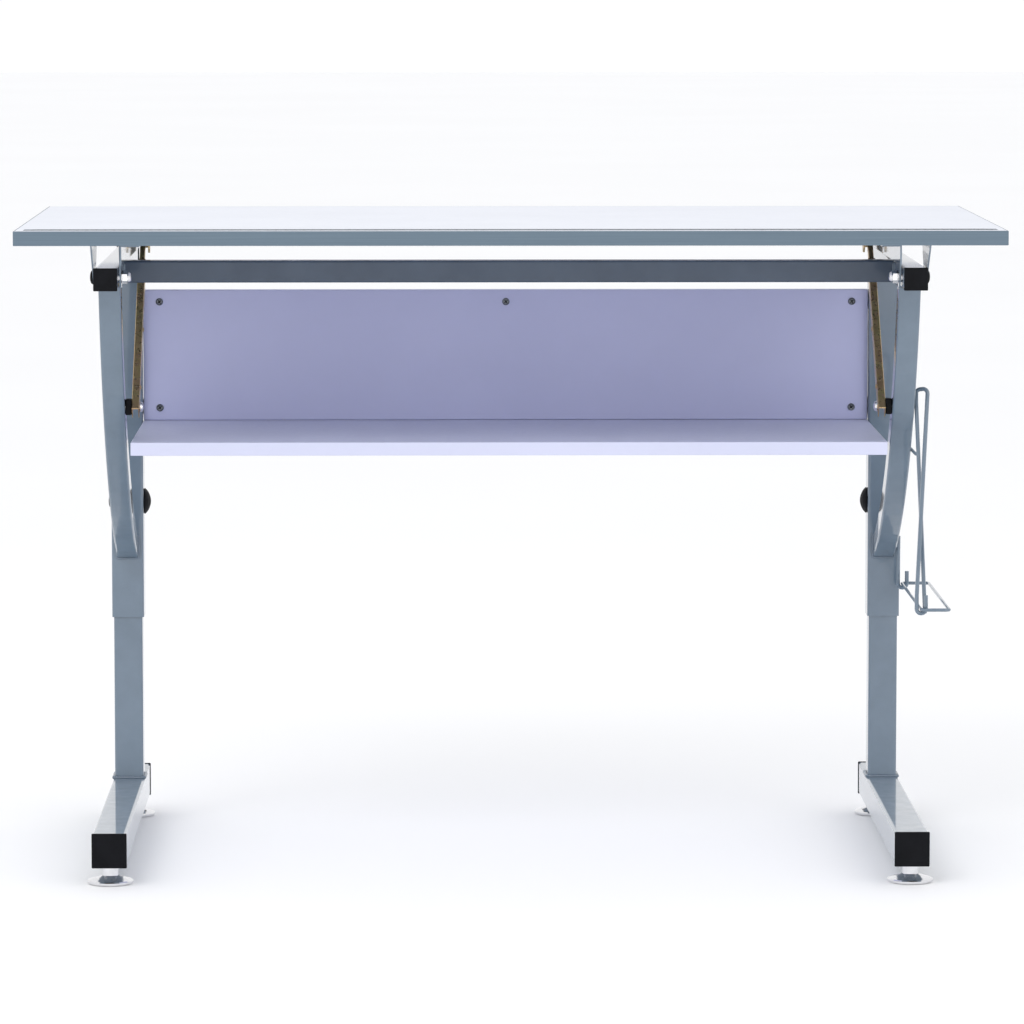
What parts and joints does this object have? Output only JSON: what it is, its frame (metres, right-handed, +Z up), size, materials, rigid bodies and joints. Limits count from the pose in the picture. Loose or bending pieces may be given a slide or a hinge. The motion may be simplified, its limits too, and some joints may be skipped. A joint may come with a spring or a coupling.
{
  "type": "drafting table",
  "caption": "Height-adjustable drafting table with a tilting top, curved front struts, a lower shelf with back panel and a wire side rack.",
  "frame": {"origin": "on the floor, under the centre of the desktop", "axes": "+X to the right of a person sitting at the table, +Y away from them towards the rear, +Z up"},
  "size_m": [1.1, 0.6, 0.735],
  "materials": {
    "frame_paint": "satin grey-blue powder coat",
    "edge_band": "satin grey-blue plastic edging",
    "white_laminate": "white melamine, low sheen",
    "panel_laminate": "pale lilac-white melamine, seen in shade",
    "black_plastic": "moulded black plastic",
    "chrome": "bright plating",
    "yellow_zinc": "yellow-passivated zinc on steel, brassy look",
    "scale_strip": "matt grey printed strip",
    "screw_steel": "dark zinc screws"
  },
  "bodies": {
    "base_left": {"left_floor_bar": "frame_paint", "left_floor_cap_front": "black_plastic", "left_floor_cap_rear": "black_plastic", "left_inner_tube": "frame_paint"},
    "foot_left_front": {"left_front_foot": "chrome"},
    "foot_left_rear": {"left_rear_foot": "chrome"},
    "knob_left": {"left_clamp_knob": "black_plastic"},
    "stay_left": {"left_stay_channel": "yellow_zinc"},
    "stay_bar_left": {"left_stay_bar": "yellow_zinc"},
    "base_right": {"right_floor_bar": "frame_paint", "right_floor_cap_front": "black_plastic", "right_floor_cap_rear": "black_plastic", "right_inner_tube": "frame_paint"},
    "foot_right_front": {"right_front_foot": "chrome"},
    "foot_right_rear": {"right_rear_foot": "chrome"},
    "knob_right": {"right_clamp_knob": "black_plastic"},
    "stay_right": {"right_stay_channel": "yellow_zinc"},
    "stay_bar_right": {"right_stay_bar": "yellow_zinc"},
    "frame": {"left_column": "frame_paint", "left_arm": "frame_paint", "left_arm_cap_front": "black_plastic", "left_arm_cap_rear": "black_plastic", "left_front_strut": "frame_paint", "left_stay_spacer": "black_plastic", "left_stay_bolt": "chrome", "left_clamp_bolt": "chrome", "left_tilt_bolt": "chrome", "right_column": "frame_paint", "right_arm": "frame_paint", "right_arm_cap_front": "black_plastic", "right_arm_cap_rear": "black_plastic", "right_front_strut": "frame_paint", "right_stay_spacer": "black_plastic", "right_stay_bolt": "chrome", "right_clamp_bolt": "chrome", "right_tilt_bolt": "chrome", "front_crossbar": "frame_paint", "rear_upper_rail": "frame_paint", "rear_lower_rail": "frame_paint", "shelf": "white_laminate", "back_panel": "panel_laminate", "panel_screw_top_left": "screw_steel", "panel_screw_top_middle": "screw_steel", "panel_screw_top_right": "screw_steel", "panel_screw_bottom_left": "screw_steel", "panel_screw_bottom_right": "screw_steel", "rack_front_upright": "frame_paint", "rack_rear_upright": "frame_paint", "rack_tray": "frame_paint", "rack_back_rod": "frame_paint"},
    "board": {"desktop_board": "white_laminate", "desktop_edge_band": "edge_band", "desktop_scale_strip": "scale_strip", "left_desk_rail": "frame_paint", "left_tilt_bracket": "frame_paint", "left_stay_bracket": "yellow_zinc", "right_desk_rail": "frame_paint", "right_tilt_bracket": "frame_paint", "right_stay_bracket": "yellow_zinc"}
  },
  "joints": [
    {"name": "height_adjust", "type": "slide", "parent": "base_left", "child": "frame", "axis": [0, 0, 1], "range_m": [-0.125, 0.1], "stiffness_N_per_m": 4000, "springref_m": 0.0313},
    {"name": "height_follow_right", "type": "slide", "parent": "frame", "child": "base_right", "axis": [0, 0, -1], "range_m": [-0.125, 0.1], "stiffness_N_per_m": 4000, "springref_m": 0.0313},
    {"name": "desk_tilt", "type": "hinge", "parent": "frame", "child": "board", "pos_m": [0, -0.225, 0.68], "axis": [1, 0, 0], "range_deg": [0, 30]},
    {"name": "stay_swing_left", "type": "hinge", "parent": "frame", "child": "stay_left", "pos_m": [-0.43, -0.10462, 0.525], "axis": [1, 0, 0], "range_deg": [0, 24.31]},
    {"name": "stay_extend_left", "type": "slide", "parent": "stay_left", "child": "stay_bar_left", "axis": [0, 0.7276, 0.686], "range_m": [0, 0.0973]},
    {"name": "stay_swing_right", "type": "hinge", "parent": "frame", "child": "stay_right", "pos_m": [0.43, -0.10462, 0.525], "axis": [1, 0, 0], "range_deg": [0, 24.31]},
    {"name": "stay_extend_right", "type": "slide", "parent": "stay_right", "child": "stay_bar_right", "axis": [0, 0.7276, 0.686], "range_m": [0, 0.0973]},
    {"name": "knob_turn_left", "type": "hinge", "parent": "frame", "child": "knob_left", "pos_m": [-0.4307, 0.173, 0.39], "axis": [1, 0, 0], "continuous": true},
    {"name": "knob_turn_right", "type": "hinge", "parent": "frame", "child": "knob_right", "pos_m": [0.4307, 0.173, 0.39], "axis": [1, 0, 0], "continuous": true},
    {"name": "foot_level_left_front", "type": "slide", "parent": "base_left", "child": "foot_left_front", "axis": [0, 0, 1], "range_m": [-0.012, 0]},
    {"name": "foot_level_left_rear", "type": "slide", "parent": "base_left", "child": "foot_left_rear", "axis": [0, 0, 1], "range_m": [-0.012, 0]},
    {"name": "foot_level_right_front", "type": "slide", "parent": "base_right", "child": "foot_right_front", "axis": [0, 0, 1], "range_m": [-0.012, 0]},
    {"name": "foot_level_right_rear", "type": "slide", "parent": "base_right", "child": "foot_right_rear", "axis": [0, 0, 1], "range_m": [-0.012, 0]}
  ],
  "couplings": [
    {"joint": "height_follow_right", "follows": "height_adjust", "ratio": 1},
    {"joint": "stay_swing_left", "follows": "desk_tilt", "ratio": 0.8069},
    {"joint": "stay_extend_left", "follows": "desk_tilt", "m_per_rad": 0.1852},
    {"joint": "stay_swing_right", "follows": "desk_tilt", "ratio": 0.8069},
    {"joint": "stay_extend_right", "follows": "desk_tilt", "m_per_rad": 0.1852}
  ]
}
